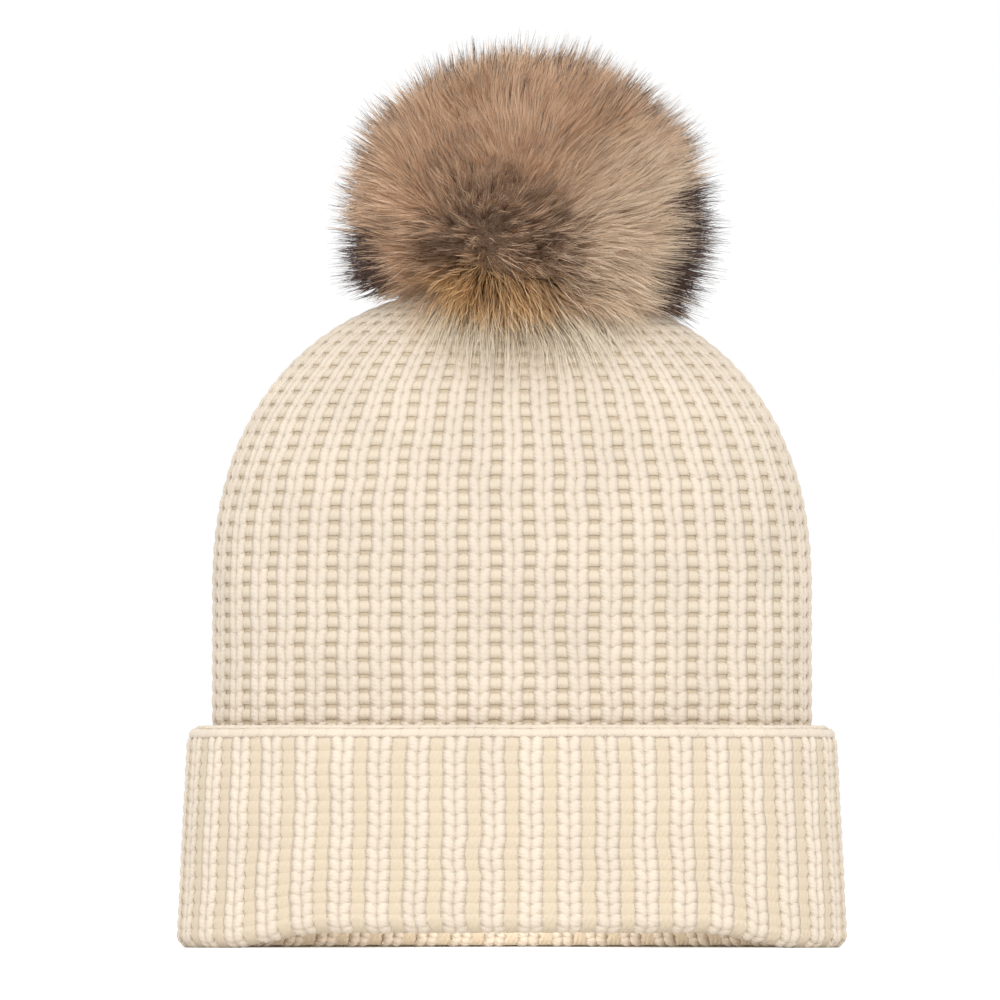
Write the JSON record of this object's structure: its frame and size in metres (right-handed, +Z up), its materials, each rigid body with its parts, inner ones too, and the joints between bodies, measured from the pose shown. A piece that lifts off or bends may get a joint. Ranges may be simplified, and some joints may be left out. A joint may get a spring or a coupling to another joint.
{
  "type": "pom pom beanie",
  "caption": "Ribbed knit beanie with a turned-up cuff, a drawn-in crown and a long-haired fur pom that presses on to a sewn stud.",
  "frame": {"origin": "on the floor under the middle of the head opening, at the level of the hem's lowest flat", "axes": "+Z up through the crown and the pom, +Y towards the back seam, -Y is the front, +X to the right seen from the front"},
  "size_m": [0.232, 0.1382, 0.3088],
  "materials": {
    "cream_knit": "chunky cream rib knit, matt and slightly fuzzy",
    "cream_yarn": "cream plied yarn",
    "felt": "pressed cream felt",
    "sewing_thread": "twisted off-white sewing thread",
    "snap_metal": "nickel-plated steel",
    "fur_backing": "brown knitted fur backing",
    "stuffing": "white loose fibre stuffing",
    "fur": "long silky fur, tan to dark brown with grey-black and golden guard hairs"
  },
  "bodies": {
    "hat": {"knit_body": "cream_knit", "folded_cuff": "cream_knit", "back_seam": "cream_yarn", "gather_yarn": "cream_yarn", "crown_patch": "felt"},
    "shank": {"thread_shank": "sewing_thread"},
    "stud": {"snap_stud": "snap_metal", "stud_stitches": "sewing_thread"},
    "spring": {"snap_spring": "snap_metal"},
    "pom": {"snap_socket": "snap_metal", "socket_stitches": "sewing_thread", "pom_base_disc": "felt", "pom_drawstring": "sewing_thread", "pom_backing": "fur_backing", "pom_filling": "stuffing", "pom_fur": "fur"}
  },
  "joints": [
    {"name": "pom_sway", "type": "hinge", "parent": "hat", "child": "shank", "pos_m": [0, 0, 0.21629], "axis": [0, 1, 0], "range_deg": [-7, 7], "stiffness_Nm_per_rad": 0.08},
    {"name": "pom_nod", "type": "hinge", "parent": "shank", "child": "stud", "pos_m": [0, 0, 0.2203], "axis": [1, 0, 0], "range_deg": [-12, 12], "stiffness_Nm_per_rad": 0.08},
    {"name": "pom_release", "type": "slide", "parent": "stud", "child": "spring", "axis": [0, 0, 1], "range_m": [0, 0.04]},
    {"name": "pom_spin", "type": "hinge", "parent": "spring", "child": "pom", "pos_m": [0, 0, 0.22485], "axis": [0, 0, 1], "continuous": true}
  ]
}
